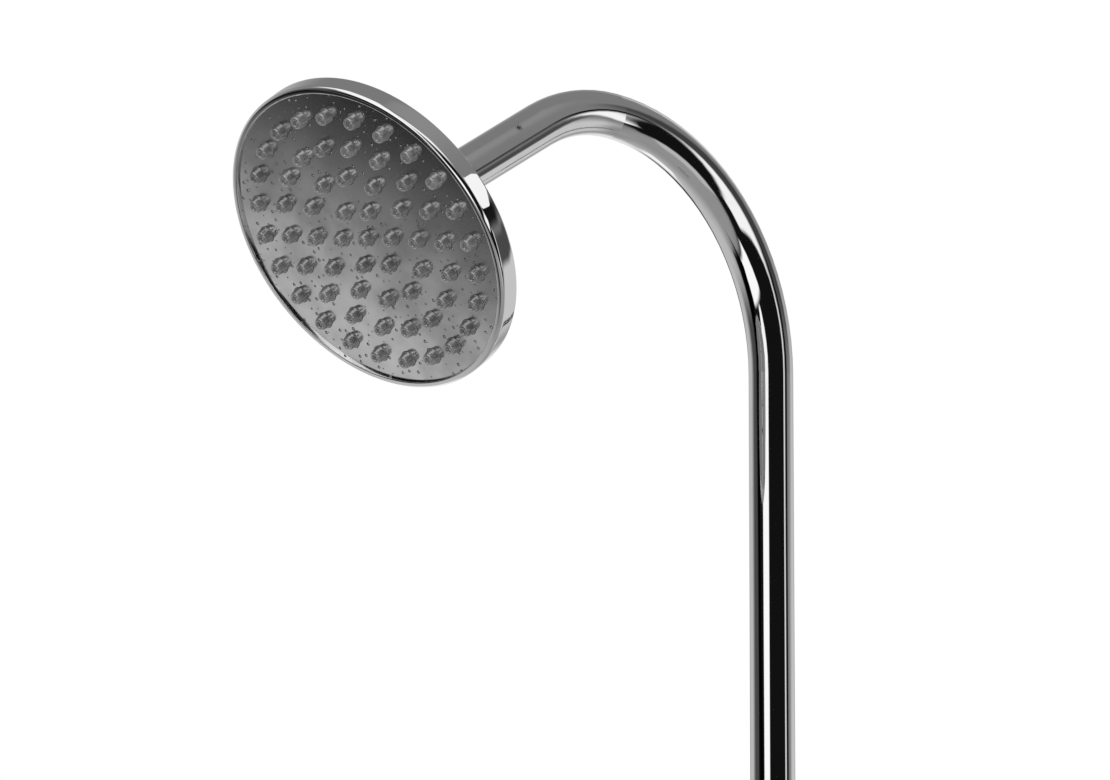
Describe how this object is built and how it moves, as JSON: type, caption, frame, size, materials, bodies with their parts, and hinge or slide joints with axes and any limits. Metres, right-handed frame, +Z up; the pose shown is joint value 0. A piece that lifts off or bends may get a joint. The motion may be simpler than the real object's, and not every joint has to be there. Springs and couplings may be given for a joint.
{
  "type": "outdoor shower post",
  "caption": "Free-standing outdoor shower: round foot plate with hose inlet, straight post with lever stop valve, gooseneck arm and round rain head on a ball joint.",
  "frame": {"origin": "centre of the foot's underside, on the post's axis", "axes": "+Z up along the post; -Y is the way the gooseneck and the valve handle face, towards the person who showers; +Y is the way the hose inlet faces"},
  "size_m": [0.3, 0.4645, 2.201],
  "materials": {
    "chrome": "bright polished chrome plating",
    "spray_face": "polished steel with fine water marks",
    "silicone": "clear grey silicone",
    "brass": "machined brass",
    "rubber": "black sealing rubber",
    "steel_plate": "brushed stainless steel",
    "screw_steel": "plain stainless steel",
    "mesh_steel": "fine stainless screen",
    "ceramic": "lapped white ceramic",
    "white_plastic": "hard white bearing plastic"
  },
  "bodies": {
    "post": {"base_rosette": "chrome", "foot_body": "chrome", "lower_tube": "chrome", "riser_tube": "chrome", "coupling": "chrome", "valve_body": "chrome", "compression_nuts": "chrome", "bonnet_ring": "chrome", "gooseneck_tube": "chrome", "ball_nut": "chrome", "arm_nipple": "brass", "cartridge_body": "brass", "compression_olives": "brass", "inlet_nipple": "brass", "base_gasket": "rubber", "foot_orings": "rubber", "inlet_washer": "rubber", "coupling_orings": "rubber", "cartridge_seal": "rubber", "nipple_oring": "rubber", "nut_washer": "rubber", "base_plate": "steel_plate", "base_screws": "screw_steel", "foot_grub_screws": "screw_steel", "coupling_screws": "screw_steel", "arm_set_screw": "screw_steel", "inlet_screen": "mesh_steel", "inlet_filter": "mesh_steel", "fixed_disc": "ceramic"},
    "handle": {"valve_handle": "chrome", "handle_screw": "screw_steel", "handle_cap": "chrome", "valve_spindle": "brass", "spindle_oring": "rubber", "moving_disc": "ceramic"},
    "swivel_pitch": {"ball_seat": "white_plastic"},
    "swivel_yaw": {"ball_seal": "rubber"},
    "head": {"head_shell": "chrome", "swivel_collar": "chrome", "flow_limiter": "white_plastic", "backing_plate": "white_plastic", "head_seal": "rubber", "nozzle_mat": "silicone", "face_plate": "spray_face"}
  },
  "joints": [
    {"name": "handle_turn", "type": "hinge", "parent": "post", "child": "handle", "pos_m": [0, -0.06, 1.085], "axis": [0, -1, 0], "range_deg": [0, 90]},
    {"name": "head_pitch", "type": "hinge", "parent": "post", "child": "swivel_pitch", "pos_m": [0, -0.23885, 2.12853], "axis": [1, 0, 0], "range_deg": [-15, 5]},
    {"name": "head_yaw", "type": "hinge", "parent": "swivel_pitch", "child": "swivel_yaw", "pos_m": [0, -0.23885, 2.12853], "axis": [0, -0.5878, 0.809], "range_deg": [-8, 8]},
    {"name": "head_spin", "type": "hinge", "parent": "swivel_yaw", "child": "head", "pos_m": [0, -0.23885, 2.12853], "axis": [0, -0.809, -0.5878], "continuous": true}
  ]
}
